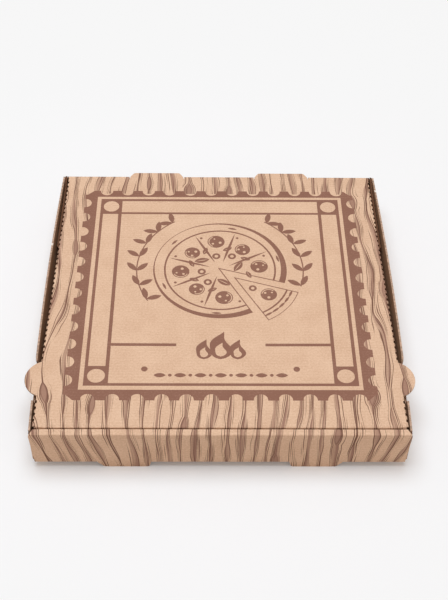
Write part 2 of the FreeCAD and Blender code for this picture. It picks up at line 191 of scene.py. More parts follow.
def flip(points):
    """The same points on the left, in the opposite order."""
    return [(-x, y) for x, y in reversed(points)]


def block(x0, y0, x1, y1):
    """A rectangle between two corners."""
    return [(x0, y0), (x1, y0), (x1, y1), (x0, y1)]


def tongue(middle, side):
    """A tongue's outline, left side first, from the half widths and places along one side."""
    left = [(middle - half, *rest) for half, *rest in side]
    return left + [(middle + half, *rest) for half, *rest in reversed(side)]


def disc(x, y, r, step=0.22):
    """A full circle."""
    return arc_points((x, y), r, 0, 2 * math.pi, step)[:-1]


def chord_arc(start, end, height, count=24):
    """Points on the circle through start and end whose middle lies height to the right of the chord."""
    a, b = np.array(start, float), np.array(end, float)
    half = np.linalg.norm(b - a) / 2
    along = (b - a) / (2 * half)
    right = np.array((along[1], -along[0]))
    radius = (half * half + height * height) / (2 * height)
    centre = (a + b) / 2 + right * (height - radius)
    spread = math.asin(half / radius) if height <= radius else math.pi - math.asin(half / radius)
    angles = np.linspace(-spread, spread, count)
    return [tuple(centre + radius * (right * math.cos(v) + along * math.sin(v))) for v in angles]


def inside_loops(points, loops):
    """True where an odd number of the loops' edges lies to the right of the point."""
    inside = np.zeros(len(points), bool)
    x, y = points[:, 0], points[:, 1]
    for loop in loops:
        loop = np.asarray(loop, float)
        for (x0, y0), (x1, y1) in zip(loop, np.roll(loop, -1, axis=0)):
            if y0 == y1:
                continue
            crosses = (y0 > y) != (y1 > y)
            at = x0 + (y - y0) * (x1 - x0) / (y1 - y0)
            inside ^= crosses & (x < at)
    return inside


# Folded sections

class Section:
    """Board cut across its creases.

    outside and inside give the same corners on the printed and on the plain face. The place s is the length
    along the middle of the board. Between corners both faces run straight, and at a corner each turns on an
    arc, point(a) = centre + r (cos a, sin a).
    """

    STEPS = 6
    REACH = 1.6
    BEND = 0.9

    def __init__(self, outside, inside):
        outside = np.array(outside, float)
        inside = np.array(inside, float)
        middle = (outside + inside) / 2
        lengths = np.linalg.norm(np.diff(middle, axis=0), axis=1)
        self.corner = np.concatenate(([0.0], np.cumsum(lengths)))
        places = [0.0]
        faces = [[outside[0]], [inside[0]]]
        for i in range(1, len(middle) - 1):
            places += [self.corner[i] - self.REACH]
            places += list(np.linspace(-self.BEND, self.BEND, self.STEPS + 1) + self.corner[i])
            before = middle[i - 1] - middle[i]
            after = middle[i + 1] - middle[i]
            before /= np.linalg.norm(before)
            after /= np.linalg.norm(after)
            for face, line, radius in zip(faces, (outside, inside), (FOLD, FOLD_INSIDE)):
                offset = line[i] - middle[i]
                centre, start, turn = corner_arc(line[i], before, after, radius)
                a = start + np.linspace(0, turn, self.STEPS + 1)
                face.append(line[i] + before * (self.REACH - offset @ before))
                face += list(centre + radius * np.stack((np.cos(a), np.sin(a)), axis=1))
                face.append(line[i] + after * (self.REACH - offset @ after))
            places += [self.corner[i] + self.REACH]
        places.append(self.corner[-1])
        faces[0].append(outside[-1])
        faces[1].append(inside[-1])
        self.rows = np.array(places)
        self.faces = [np.array(face) for face in faces]

    def at(self, s, w):
        """Point at the place s, with w from 0 on the plain face to 1 on the printed one."""
        out, inn = (np.stack([np.interp(s, self.rows, face[:, k]) for k in (0, 1)]) for face in self.faces)
        return inn + (out - inn) * w


# Sheets of board

GRID = 9.0
FLUTE_STEP = 0.5
LEAST_STEP = 0.02
RIM_CLEARANCE = 0.7


def cut_levels(phase):
    """Cut edge of the board from its printed to its plain face, as places w across it and depths.

    The medium lies at w = 1/2 + swing sin(2 pi phase / pitch), between liners at both faces.
    """
    wave = 0.5 + FLUTE_SWING * np.sin(2 * np.pi * phase / FLUTE_PITCH)
    one = np.ones_like(phase)
    across = [one, one - LINER, one - LINER, wave + MEDIUM, wave + MEDIUM,
              wave - MEDIUM, wave - MEDIUM, one * LINER, one * LINER, one * 0]
    return np.stack(across), FLUTE_RECESS * np.array([0, 0, 1, 1, 0, 0, 1, 1, 0, 0])


def resample(loop, rows, phase_axis):
    """Adds points to a loop where it crosses the rows, and closely where the flutes are cut across."""
    loop = np.asarray(loop, float)
    points = []
    for a, b in zip(loop, np.roll(loop, -1, axis=0)):
        span = b - a
        length = float(np.hypot(*span))
        if length < 1e-6:
            continue
        count = max(1, math.ceil(abs(span[phase_axis]) / FLUTE_STEP), math.ceil(length / GRID))
        t = list(np.linspace(0, 1, count + 1)[:-1])
        if abs(span[1]) > 1e-9:
            t += [where for where in ((row - a[1]) / span[1] for row in rows) if 0 < where < 1]
        t = sorted(t)
        kept = [t[0]]
        for value in t[1:]:
            if min(value - kept[-1], 1 - value) * length > LEAST_STEP:
                kept.append(value)
        points += [a + span * value for value in kept]
    return np.array(points)


def closed(loops, start=0):
    """Edges of closed loops whose points are numbered one after another."""
    edges = []
    for loop in loops:
        edges += [(start + i, start + (i + 1) % len(loop)) for i in range(len(loop))]
        start += len(loop)
    return edges


class Sheet:
    """Collects the vertices, faces, flat places and materials of one or more pieces of board."""

    def __init__(self):
        self.points = []
        self.faces = []
        self.flat = []
        self.kinds = []
        self.count = 0

    def keep(self, points, flat):
        """Adds points and their flat places, and gives the number of the first."""
        start = self.count
        self.points.append(points)
        self.flat.append(flat)
        self.count += len(points)
        return start

    def add(self, loops, rows, place, blank, phase_axis, inks=(), slits=(), edge=CUT):
        """Board with the given flat outline and holes, slits being small holes whose cut faces lie in shade
        and get painted shade.

        place(c, s, w) gives its points in space, blank(c, s) its place on the unfolded sheet, and inks the
        outlines of printed shapes, each a list of loops.
        """
        edge_kinds = [edge] * len(loops) + [SHADED] * len(slits)
        loops = [resample(loop, rows, phase_axis) for loop in [*loops, *slits]]
        rim = np.concatenate(loops)
        low, high = rim.min(0), rim.max(0)
        across = np.arange(low[0] + GRID / 2, high[0], GRID)
        along = np.array(sorted({*np.arange(low[1] + GRID / 2, high[1], GRID), *rows}))
        inner = np.stack(np.meshgrid(across, along), -1).reshape(-1, 2)
        inner = inner[inside_loops(inner, loops)]
        near = np.array([np.min(np.hypot(*(rim - p).T)) for p in inner]) if len(inner) else np.zeros(0)
        inner = inner[near > RIM_CLEARANCE]
        prints = [np.asarray(loop, float) for shape in inks for loop in shape]
        flat = np.concatenate([rim, inner] + prints)
        segments = closed(loops)
        for row in rows:
            on_row = np.flatnonzero(np.abs(inner[:, 1] - row) < 1e-9)
            pairs = np.stack((on_row[:-1], on_row[1:]), axis=1)
            if len(pairs):
                joined = inside_loops(inner[pairs].mean(axis=1), loops)
                joined &= np.abs(np.diff(inner[pairs][:, :, 0], axis=1)[:, 0]) < 1.01 * GRID
                segments += (pairs[joined] + len(rim)).tolist()
        segments += closed(prints, len(rim) + len(inner))
        flat, _, faces, origin, _, _ = delaunay_2d_cdt([Vector(p) for p in flat], segments, [], 0, 1e-5)
        flat = np.array([tuple(p) for p in flat])
        where = {old: new for new, olds in enumerate(origin) for old in olds}
        faces = np.array(faces)
        middles = flat[faces].mean(axis=1)
        kept = inside_loops(middles, loops)
        faces, middles = faces[kept], middles[kept]
        inked = np.zeros(len(faces), bool)
        for shape in inks:
            inked |= inside_loops(middles, shape)
        outer, plain = place(*flat.T, 1.0), place(*flat.T, 0.0)
        a, b, c = (outer[faces[:, k]] for k in range(3))
        if np.sum(np.cross(b - a, c - a) * (outer - plain)[faces[:, 0]]) < 0:
            faces = faces[:, ::-1]
        first = self.keep(outer, blank(*flat.T))
        second = self.keep(plain, blank(*flat.T))
        self.faces += (faces + first).tolist()
        self.kinds += np.where(inked, INKED, PRINTED).tolist()
        self.faces += (faces[:, ::-1] + second).tolist()
        self.kinds += [PLAIN] * len(faces)
        start = 0
        for loop, kind in zip(loops, edge_kinds):
            ids = np.array([where[start + i] for i in range(len(loop))])
            self.cut_edge(loop, loops, ids, first, second, place, blank, phase_axis, kind)
            start += len(loop)

    def cut_edge(self, loop, loops, ids, first, second, place, blank, phase_axis, kind):
        """The cut edge along one loop, recessed between the liners and the medium."""
        tangent = np.roll(loop, -1, axis=0) - np.roll(loop, 1, axis=0)
        tangent /= np.linalg.norm(tangent, axis=1)[:, None]
        inward = np.stack((-tangent[:, 1], tangent[:, 0]), axis=1)
        probe = loop[:1] + inward[:1] * 0.05
        if not inside_loops(probe, loops)[0]:
            inward = -inward
        across, depths = cut_levels(loop[:, phase_axis])
        rings = []
        for level, depth in zip(across, depths):
            c, s = (loop + inward * depth).T
            rings.append(self.keep(place(c, s, level), blank(c, s)) + np.arange(len(loop)))
        rings = [ids + first] + rings[1:-1] + [ids + second]
        a, b = place(*loop[:2].T, 1.0)
        c = place(*loop[:1].T, 0.0)[0]
        outward = place(*(loop[:1] - inward[:1] * 0.1).T, 0.5)[0] - (a + c) / 2
        order = 1 if np.dot(np.cross(b - a, c - a), outward) > 0 else -1
        for upper, lower in zip(rings, rings[1:]):
            quads = np.stack((upper, np.roll(upper, -1), np.roll(lower, -1), lower), axis=1)
            self.faces += quads[:, ::order].tolist()
            self.kinds += [kind] * len(quads)

    def build(self, name):
        """One mesh object at the origin, in metres."""
        points = np.concatenate(self.points) * MM
        mesh = bpy.data.meshes.new(name)
        mesh.from_pydata(points.tolist(), [], self.faces)
        mesh.polygons.foreach_set("material_index", self.kinds)
        flat = np.concatenate(self.flat) * MM
        corners = np.zeros(len(mesh.loops), np.int32)
        mesh.loops.foreach_get("vertex_index", corners)
        layer = mesh.uv_layers.new(name="blank")
        layer.data.foreach_set("uv", flat[corners].astype(np.float32).ravel())
        mesh.polygons.foreach_set("use_smooth", [kind < CUT for kind in self.kinds])
        mesh.update()
        sharpen(mesh, self.kinds)
        for material in MATERIALS:
            mesh.materials.append(material)
        return new_object(name, mesh)


def new_object(name, data):
    """An object in the scene, at the origin."""
    thing = bpy.data.objects.new(name, data)
    bpy.context.scene.collection.objects.link(thing)
    return thing


def sharpen(mesh, kinds):
    """Keeps the faces' shading apart from the cut edges'."""
    cut = {}
    for face in mesh.polygons:
        side = kinds[face.index] >= CUT
        for key in face.edge_keys:
            cut.setdefault(key, []).append(side)
    sharp = mesh.attributes.new("sharp_edge", "BOOLEAN", "EDGE")
    marks = [len(set(cut.get(edge.key, [False]))) > 1 for edge in mesh.edges]
    sharp.data.foreach_set("value", marks)


# Materials, with linear colours

KRAFT = (0.755, 0.528, 0.366)
KRAFT_DARK = (0.600, 0.386, 0.252)
INK = (0.250, 0.118, 0.078)
THIN_INK = (0.390, 0.220, 0.155)
BAND_INK = (0.300, 0.158, 0.112)
LINE_INK = (0.135, 0.054, 0.034)
BAND_STRENGTH = 0.92
LINE_STRENGTH = 0.90
INSIDE = (0.400, 0.235, 0.138)
EDGE = (0.640, 0.455, 0.330)
# SHADE is painted shade, given to the cut faces of the slits, the corner flaps and the back wall's ends
# beside the lid
SHADE = (0.220, 0.098, 0.050)

# Pale nicks in the side walls' top edges, and the walls' place on the sheet
NICK = (0.900, 0.840, 0.760)
NICK_LEFT = 66.0
NICK_RIGHT = 149.0
NICK_HALF = 1.3
WALL_PRINT = 700.0

# Wood grain, which stops where the printed frame begins; the pitches and the frame are in metres
GRAIN_PITCH = 0.0128
BAND_HALF = 1.25
BAND_LEAST = 0.25
LINE_STEP = 1.20
EYE_PITCH = 0.062
EYE_REACH = 12.0
EYE_HALF = 2.3
EYE_CHANCE = 0.80
EYE_STRENGTH = 0.90
RIM_STRENGTH = 0.45
KNOT_PULL = 0.85
KNOTS = [
    (148.0, -52.0, 9.0, 36.0),
    (-149.0, -76.0, 8.0, 26.0),
    (-151.0, 72.0, 7.0, 30.0),
    (150.0, 70.0, 6.0, 24.0),
]
FRAME_LOW = (-0.134, -0.126)
FRAME_HIGH = (0.134, 0.143)


class Field:
    """A number in a node tree. Arithmetic on it adds the nodes that work it out."""

    def __init__(self, tree, socket):
        self.tree = tree
        self.socket = socket

    def __add__(self, other):
        return self.tree.math("ADD", self, other)

    def __sub__(self, other):
        return self.tree.math("SUBTRACT", self, other)

    def __rsub__(self, other):
        return self.tree.math("SUBTRACT", other, self)

    def __mul__(self, other):
        return self.tree.math("MULTIPLY", self, other)

    def __truediv__(self, other):
        return self.tree.math("DIVIDE", self, other)

    def __abs__(self):
        return self.tree.math("ABSOLUTE", self)


class Nodes:
    """Short ways to add shader nodes to a tree."""

    def __init__(self, tree):
        self.tree = tree

    def put(self, value, target):
        """Links a field or a socket to an input, or sets the input's own value."""
        if isinstance(value, Field):
            value = value.socket
        if isinstance(value, bpy.types.NodeSocket):
            self.tree.links.new(value, target)
        else:
            target.default_value = value

    def add(self, kind, inputs=None, **settings):
        node = self.tree.nodes.new(kind)
        for key, value in settings.items():
            setattr(node, key, value)
        for key, value in (inputs or {}).items():
            self.put(value, node.inputs[key])
        return node

    def math(self, operation, a, b=0.0, clamp=False):
        node = self.add("ShaderNodeMath", {0: a, 1: b}, operation=operation, use_clamp=clamp)
        return Field(self, node.outputs[0])

    def noise(self, vector, scale, detail=2.0, roughness=0.5):
        inputs = {"Vector": vector, "Scale": scale, "Detail": detail, "Roughness": roughness}
        return Field(self, self.add("ShaderNodeTexNoise", inputs).outputs["Fac"])

    def chance(self, source, value, dimensions):
        """A random number from 0 to 1 for each value."""
        node = self.add("ShaderNodeTexWhiteNoise", {source: value}, noise_dimensions=dimensions)
        return Field(self, node.outputs["Value"])

    def vector(self, x, y, z=0.0):
        return self.add("ShaderNodeCombineXYZ", {0: x, 1: y, 2: z}).outputs[0]

    def xy(self, place):
        node = self.add("ShaderNodeSeparateXYZ", {0: place})
        return Field(self, node.outputs[0]), Field(self, node.outputs[1])

    def ramp(self, value, low, high):
        """0 below low, 1 above high, smooth between."""
        inputs = {"Value": value, "From Min": low, "From Max": high}
        node = self.add("ShaderNodeMapRange", inputs, interpolation_type="SMOOTHSTEP")
        return Field(self, node.outputs[0])

    def mix(self, factor, a, b):
        """The colour a + (b - a) factor."""
        node = self.add("ShaderNodeMix", {0: factor}, data_type="RGBA")
        for key, colour in ((6, a), (7, b)):
            self.put((*colour, 1.0) if isinstance(colour, tuple) else colour, node.inputs[key])
        return node.outputs[2]

    def group(self, node_tree, place):
        """The numbers that a group puts out at a place."""
        node = self.add("ShaderNodeGroup", {0: place}, node_tree=node_tree)
        return [Field(self, output) for output in node.outputs]


def new_group(name, *outputs):
    """A node group that takes a place and puts out the named numbers."""
    group = bpy.data.node_groups.new(name, "ShaderNodeTree")
    group.interface.new_socket("Place", in_out="INPUT", socket_type="NodeSocketVector")
    for output in outputs:
        group.interface.new_socket(output, in_out="OUTPUT", socket_type="NodeSocketFloat")
    tree = Nodes(group)
    place = tree.add("NodeGroupInput").outputs[0]
    return tree, place, tree.add("NodeGroupOutput").inputs


def grain_group():
    """Printed wood grain on the unfolded sheet: bundles of thin lines beside part-filled bands.

    Bundle k holds the places with floor(u) = k, where u = (x + drift) / pitch. With d the distance in mm from
    its wandering middle, and h(y) the band's half width, the band is |d| < h, stronger towards one side. The
    lines are where d is near h, -h, and a little further out, and their widths swell and fade along y.
    Some bundles part round an eye of half width a (1 - t^2), t being the distance along it over its reach.
    Near a large knot x is drawn towards the knot's middle by pull exp(-(dx / w)^2 - (dy / l)^2), so lines bow
    round it.
    """
    tree, place, end = new_group("wood_grain", "Lines", "Bands")
    x, y = tree.xy(place)

    def wave(scale_x, scale_y, seed, swing, across=x):
        """Noise about 0, reaching about a quarter of the swing."""
        return (tree.noise(tree.vector(across * scale_x, y * scale_y, seed), 1.0, 1.0) - 0.5) * swing

    bent = x + wave(8.0, 5.0, 3.1, 0.046) + wave(28.0, 15.0, 7.7, 0.009)
    for knot_x, knot_y, width, length in KNOTS:
        away = x - knot_x * MM
        across = away / (width * MM)
        rise = (y - knot_y * MM) / (length * MM)
        fade = tree.math("EXPONENT", (across * across + rise * rise) * -1.0)
        bent = bent - away * (fade * KNOT_PULL)
    u = bent / GRAIN_PITCH
    bundle = tree.math("FLOOR", u)
    chance = tree.chance("W", bundle, "1D")
    middle = (chance - 0.5) * 0.10 + wave(5.3, 20.0, 1.9, 0.25, bundle)
    heading = tree.math("SIGN", tree.math("FRACT", chance * 7.0) - 0.5)
    d = (tree.math("FRACT", u) - 0.5 - middle) * heading * (GRAIN_PITCH / MM)

    along = y / EYE_PITCH + chance * 3.7
    pick = tree.chance("Vector", tree.vector(bundle, tree.math("FLOOR", along)), "2D")
    t = (tree.math("FRACT", along) - 0.5) * (EYE_PITCH / MM / EYE_REACH)
    eye = tree.math("MAXIMUM", (1.0 - t * t) * EYE_HALF, 0.0) * tree.math("GREATER_THAN", pick, EYE_CHANCE)
    far = abs(d) - eye
    within_eye = tree.math("LESS_THAN", far, 0.0)
    d = tree.math("MAXIMUM", far, 0.0) * tree.math("SIGN", d)

    half = tree.math("MAXIMUM", wave(7.3, 21.0, 5.0, 9.0, bundle) + BAND_HALF, BAND_LEAST)
    within = tree.ramp(half - abs(d), 0.0, 0.3)
    lean = d / half * 0.30 + 0.72
    streak = tree.noise(tree.vector(bent * 1100.0, y * 22.0), 1.0, 1.0)
    body = tree.math("MULTIPLY", lean * (streak * 1.7 + 0.15), within, clamp=True)
    body = tree.math("MAXIMUM", body, within_eye * EYE_STRENGTH)

    def line(offset, width):
        """1 within the half width of the place where d is the offset."""
        return tree.ramp(width - abs(d - offset), -0.06, 0.22)

    def fading(seed, most, least=0.30):
        """A half width in mm that comes and goes along the line."""
        return tree.math("MINIMUM", wave(9.1, 19.0, seed, 2.6, bundle) + least, most)

    beyond = half + (wave(6.1, 16.0, 31.0, 2.2, bundle) + BAND_HALF)
    outer = beyond + (wave(6.7, 14.0, 37.0, 2.2, bundle) + LINE_STEP)
    last = outer + (wave(6.3, 13.0, 43.0, 2.2, bundle) + LINE_STEP)
    behind = wave(6.9, 16.0, 41.0, 2.0, bundle) - LINE_STEP - half
    lines = line(half, fading(11.0, 0.50, 0.40))
    for offset, width in (
        (half * -1.0, fading(13.0, 0.42)),
        (beyond, fading(17.0, 0.46)),
        (outer, fading(19.0, 0.40, 0.20)),
        (last, fading(47.0, 0.34, 0.08)),
        (behind, fading(23.0, 0.40, 0.20)),
        (half * 0.25, fading(29.0, 0.34, 0.15)),
    ):
        lines = tree.math("MAXIMUM", lines, line(offset, width))
    rim = tree.math("LESS_THAN", abs(far + 0.35), 0.35) * tree.math("GREATER_THAN", eye, 0.1)
    lines = tree.math("MAXIMUM", lines * (1.0 - within_eye), rim * RIM_STRENGTH)
    tree.put(lines, end[0])
    tree.put(body, end[1])
    return tree.tree


def board_group():
    """Kraft paper over flutes: blotches, fibres, specks, and the faint ribs of the medium below.

    Ribs: height = sin(2 pi y / pitch), faded in patches.
    """
    tree, place, end = new_group("kraft_board", "Tone", "Height")
    x, y = tree.xy(place)
    blotch = tree.noise(place, 38.0, 3.0)
    fibre = tree.noise(tree.vector(x * 1500.0, y * 480.0), 1.0, 3.0, 0.65)
    speck = tree.noise(place, 560.0, 3.0, 0.7) - 0.36
    ribs = tree.math("SINE", y * (2 * math.pi / (FLUTE_PITCH * MM))) * tree.noise(place, 9.0, 1.0)
    tone = blotch * 0.45 + fibre * 0.40 + speck * 0.95 + ribs * 0.06
    tree.put(tree.ramp(tone, 0.25, 0.85), end[0])
    tree.put(ribs * 0.35 + fibre * 0.30, end[1])
    return tree.tree


grain = grain_group()
kraft = board_group()


def scaled(colour, factor):
    """The colour made lighter or darker."""
    return tuple(factor * c for c in colour)


def printed_colour(tree, place, tone):
    """Kraft with the wood grain over it, bare inside the frame."""
    lines, bands = tree.group(grain, place)
    inside = 1.0
    for value, low, high in zip(tree.xy(place), FRAME_LOW, FRAME_HIGH):
        inside = tree.math("GREATER_THAN", value, low) * tree.math("LESS_THAN", value, high) * inside
    outside = 1.0 - inside
    banded = tree.mix(bands * (outside * BAND_STRENGTH), tree.mix(tone, KRAFT_DARK, KRAFT), BAND_INK)
    return tree.mix(lines * (outside * LINE_STRENGTH), banded, LINE_INK)


def ink_colour(tree, place, tone):
    """Solid ink, thinner where the paper's fibres stand up."""
    return tree.mix(tree.ramp(tone, 0.45, 1.0) * 0.35, INK, THIN_INK)


def inside_colour(tree, place, tone):
    """Plain liner, darker than the printed one."""
    return tree.mix(tone, scaled(INSIDE, 0.85), INSIDE)


def edge_colour(tree, place, tone):
    """Cut board, with the two pale nicks in the side walls' top edges."""
    mottle = tree.ramp(tree.noise(place, 380.0, 2.0, 0.6), 0.36, 0.62)
    base = tree.mix(tone * 0.3, tree.mix(mottle, scaled(EDGE, 0.6), scaled(EDGE, 1.15)), EDGE)
    x, y = tree.xy(place)
    for side, nick in ((-1, NICK_LEFT), (1, NICK_RIGHT)):
        near = tree.math("LESS_THAN", abs(y - (nick + WALL_PRINT) * MM), NICK_HALF * MM)
        base = tree.mix(near * tree.math("GREATER_THAN", x * side, 0.0), base, NICK)
    return base


def slit_colour(tree, place, tone):
    """Painted shade: a dark brown for cut board that lies in shade."""
    return tree.mix(tone, scaled(SHADE, 0.7), SHADE)


def paper_material(name, colour, roughness=0.82, bump=0.35):
    """Matt paper. Its colour comes from a function of the node tree, the place on the sheet and its tone."""
    material = bpy.data.materials.new(name)
    material.use_nodes = True
    tree = Nodes(material.node_tree)
    shader = material.node_tree.nodes["Principled BSDF"].inputs
    shader["Roughness"].default_value = roughness
    shader["Specular IOR Level"].default_value = 0.25
    place = tree.add("ShaderNodeUVMap", uv_map="blank").outputs[0]
    tone, height = tree.group(kraft, place)
    relief = tree.add("ShaderNodeBump", {"Strength": bump, "Distance": 0.0002, "Height": height})
    tree.put(colour(tree, place, tone), shader["Base Color"])
    tree.put(relief.outputs[0], shader["Normal"])
    return material


MATERIALS = [
    paper_material("printed_kraft", printed_colour),
    paper_material("brown_ink", ink_colour, roughness=0.72),
    paper_material("plain_kraft", inside_colour),
    paper_material("cut_edge", edge_colour, bump=0.1),
    paper_material("shaded_slit", slit_colour, bump=0.1),
]


# Tray: base, back wall and rolled front wall
def build_tray():
    """The long column of board, folded from the inner front wall round to the back wall, and the feet."""
    tray = Sheet()
    lock_z = FOOT - LOCK_REACH
    back_top = TOP - CREASE_SPAN - 1.0
    column = Section(
        [
            (front_inner, lock_z), (front_inner, TOP), (-HALF_D, TOP),
            (-HALF_D, FOOT), (HALF_D, FOOT), (HALF_D, back_top),
        ],
        [
            (front_inner - BOARD, lock_z), (front_inner - BOARD, strip_bottom),
            (-HALF_D + BOARD, strip_bottom), (-HALF_D + BOARD, base_top),
            (HALF_D - BOARD, base_top), (HALF_D - BOARD, back_top),
        ],
    )
    _, at_rear, at_front, at_bottom, at_back, _ = column.corner

    def inner_wall(z):
        return z - lock_z

    def outer_wall(z):
        return at_front + (TOP - BOARD / 2 - z)

    def base(y):
        return at_bottom + (y + HALF_D - BOARD / 2)

    def back_wall(z):
        return at_back + (z - FOOT - BOARD / 2)

    def place(c, s, w):
        y, z = column.at(s, w)
        return box_shift(c, y, z)

    def blank(c, s):
        """The print leans towards the middle below the front edge: X = x + a (x / b)^3 (h / c)^1.4."""
        below = np.clip(s - at_front, 0, 46)
        lean = LEAN * np.clip((c - LEAN_MIDDLE) / LEAN_REACH, -1, 1) ** 3 * (below / LEAN_HEIGHT) ** 1.4
        return np.stack((c + lean, -HALF_D - (s - at_rear) - 3.0), axis=-1)

    slot_end = front_inner + GAP
    end_x = flap_inner - 0.5
    lock = tongue(FOOT_MIDDLE, [
        (LOCK_HALF, inner_wall(flap_bottom)), (LOCK_HALF, inner_wall(FOOT)), (LOCK_END_HALF, 0.01),
    ])
    tab_gap = tongue(TAB_MIDDLE, [
        (TAB_HALF, back_wall(back_top)),
        (TAB_END_HALF + TAB_GAP, back_wall(hinge_z - TAB_LENGTH - TAB_GAP), 1.5),
    ])
    right = [
        *lock,
        (HALF_W - STRIP_SLANT, inner_wall(flap_bottom)), (HALF_W - STRIP_SLANT, at_rear),
        (HALF_W - 0.6, at_front), (HALF_W - 0.1, at_front + 2.0), (HALF_W - FRONT_TAPER, at_bottom),
        (HALF_W - FOLD, base(slot_end)), (HALF_W - FOLD, base(HALF_D - BOARD - GAP)),
        (end_x, base(HALF_D - BOARD - GAP)), (end_x, back_wall(back_top)),
        *reversed(tab_gap),
    ]
    outline = rounded(right + [(-p[0], *p[1:]) for p in reversed(right)])
    slots = []
    for low, high in ((outer_wall(crease_top), base(slot_end)), (base(-slot_end), back_wall(crease_top))):
        for side in (1, -1):
            slots.append(block(side * (FOOT_MIDDLE - FOOT_HALF), low, side * (FOOT_MIDDLE + FOOT_HALF), high))
    tray.add([outline] + slots, column.rows, place, blank, 1)

    foot = rounded([
        (FOOT_MIDDLE - FOOT_HALF, crease_top), (FOOT_MIDDLE - FOOT_HALF, FOOT),
        (FOOT_END_START, 0.0, FOOT_ROUND), (FOOT_END_STOP, 0.0, FOOT_ROUND),
        (FOOT_MIDDLE + FOOT_HALF, FOOT), (FOOT_MIDDLE + FOOT_HALF, crease_top),
    ])
    for end in (-1, 1):
        def foot_place(c, s, w, end=end):
            return box_shift(c, end * (HALF_D - BOARD * (1 - w)), s)

        def foot_blank(c, s, end=end):
            return blank(c, outer_wall(s) if end < 0 else back_wall(s))

        for loop in (foot, flip(foot)):
            tray.add([loop], [], foot_place, foot_blank, 1)

    build_sides(tray, slot_end, end_x)
    return tray


def build_sides(tray, slot_end, end_x):
    """Side walls and corner flaps.

    A wall bulges by bow (1 - (y - middle)^2 / half^2) towards the top. Its foot lies further in, by
    tuck exp(-(y - front) / reach).
    """
    start_x = HALF_W - FOLD
    wall = Section(
        [(start_x - BOARD, FOOT), (HALF_W, FOOT), (HALF_W, TOP)],
        [(start_x - BOARD, base_top), (side_inner, base_top), (side_inner, TOP)],
    )
    corner = wall.corner[1]
    y_front = -HALF_D + BOARD + GAP + BOARD + 1.2
    y_back = HALF_D - GAP
    middle, half = (y_front + y_back) / 2, (y_back - y_front) / 2
    up = corner + (TOP - FOOT - BOARD / 2)
    notch = corner + (NOTCH_BOTTOM - FOOT - BOARD / 2)
    slant = 2.25
    crease_s = corner + 1.8
    outline = rounded([
        (slot_end, BOARD),
        (HALF_D - BOARD - GAP, BOARD),
        (HALF_D - BOARD - GAP, crease_s),
        (y_back, crease_s), (y_back, up, 0.8),
        (EAR_MIDDLE + NOTCH_HALF + slant, up, 1.0), (EAR_MIDDLE + NOTCH_HALF, up - slant, 1.0),
        (EAR_MIDDLE + NOTCH_HALF, notch, 3.0), (EAR_MIDDLE - NOTCH_HALF, notch, 3.0),
        (EAR_MIDDLE - NOTCH_HALF, up - slant, 1.5), (EAR_MIDDLE - NOTCH_HALF - slant, up, 1.5),
        (y_front, up), (y_front, crease_s),
        (slot_end, crease_s),
    ])
    flap_face = -HALF_D + BOARD + GAP
    front = Section(
        [(HALF_W, y_front), (HALF_W, flap_face), (HALF_W - FRONT_FLAP, flap_face)],
        [(side_inner, y_front), (side_inner, flap_face + BOARD), (HALF_W - FRONT_FLAP, flap_face + BOARD)],
    )
    low, high = flap_bottom, strip_bottom - GAP
    front_outline = rounded([
        (low, 0.0), (high, 0.0), (high, front.corner[-1]), (low, front.corner[-1] - SLOPE, FLAP_ROUND),
    ])
    back = Section(
        [(end_x, HALF_D), (flap_outer, HALF_D), (flap_outer, HALF_D - BACK_FLAP)],
        [(end_x, HALF_D - BOARD), (flap_inner, HALF_D - BOARD), (flap_inner, HALF_D - BACK_FLAP)],
    )
    back_high = TOP - 0.1
    back_low = TOP - 6.0
    back_corner = back.corner[1] + BOARD
    back_outline = rounded([
        (low, 0.0), (back_high, 0.0), (back_high, back_corner), (back_low, back_corner + SLOPE),
        (back_low, back.corner[-1], 1.0), (low, back.corner[-1] - SLOPE, FLAP_ROUND),
    ])
    for side in (1, -1):
        def wall_place(c, s, w, side=side):
            x, z = wall.at(s, w)
            rise = np.clip((z - crease_top) / (TOP - crease_top), 0, 1)
            bow = SIDE_BOW * np.clip(1 - ((c - middle) / half) ** 2, 0, 1)
            tuck = SIDE_TUCK * np.exp(-(c - y_front) / TUCK_REACH)
            return box_shift(side * (x + bow * rise - tuck * (1 - rise)), c, z)

        def wall_blank(c, s, side=side):
            return np.stack((side * (start_x + s), c + WALL_PRINT), axis=-1)

        def flap_blank(c, s, side=side):
            return np.stack((side * (s + 200.0), c + 900), axis=-1)

        tray.add([outline], wall.rows, wall_place, wall_blank, 0)
        for fold, flap, axis in ((front, front_outline, 1), (back, back_outline, 0)):
            def flap_place(c, s, w, side=side, fold=fold):
                x, y = fold.at(s, w)
                return box_shift(side * x, y, c)

            # The corner flaps' cut edges get painted shade
            tray.add([flap], fold.rows, flap_place, flap_blank, axis, edge=SHADED)


# Print on the lid
def leaf(x, y, length, width, angle):
    """Two equal arcs that meet in points."""
    ends = (-length / 2, 0), (length / 2, 0)
    sides = chord_arc(*ends, width / 2, 12)[:-1] + chord_arc(*ends[::-1], width / 2, 12)[:-1]
    c, s = math.cos(angle), math.sin(angle)
    return [(x + px * c - py * s, y + px * s + py * c) for px, py in sides]


def wedge(centre, r0, r1, start, end):
    """A piece of a ring, or a slice where the inner radius is nothing."""
    outer = arc_points(centre, r1, start, end, 0.08)
    return outer + (arc_points(centre, r0, end, start, 0.1) if r0 else [tuple(centre)])


def toward(angle):
    """Unit vector at an angle."""
    return np.array((math.cos(angle), math.sin(angle)))


def enlarged(loop, old_middle, middle, scale):
    """The loop scaled about its old middle, which goes to the new one."""
    return [tuple(np.array(middle) + scale * (np.array(p) - old_middle)) for p in loop]


def salami(x, y, radius, turn):
    """A disc with bare flecks and a bare ring segment."""
    middles = [np.array((x, y)) + 0.5 * radius * toward(turn + v) for v in (0.3, 2.2, 4.3)]
    flecks = [disc(*middle, 0.9 + 0.25 * i) for i, middle in enumerate(middles)]
    return [disc(x, y, radius), wedge((x, y), radius - 1.7, radius - 0.9, turn + 0.4, turn + 2.6)] + flecks


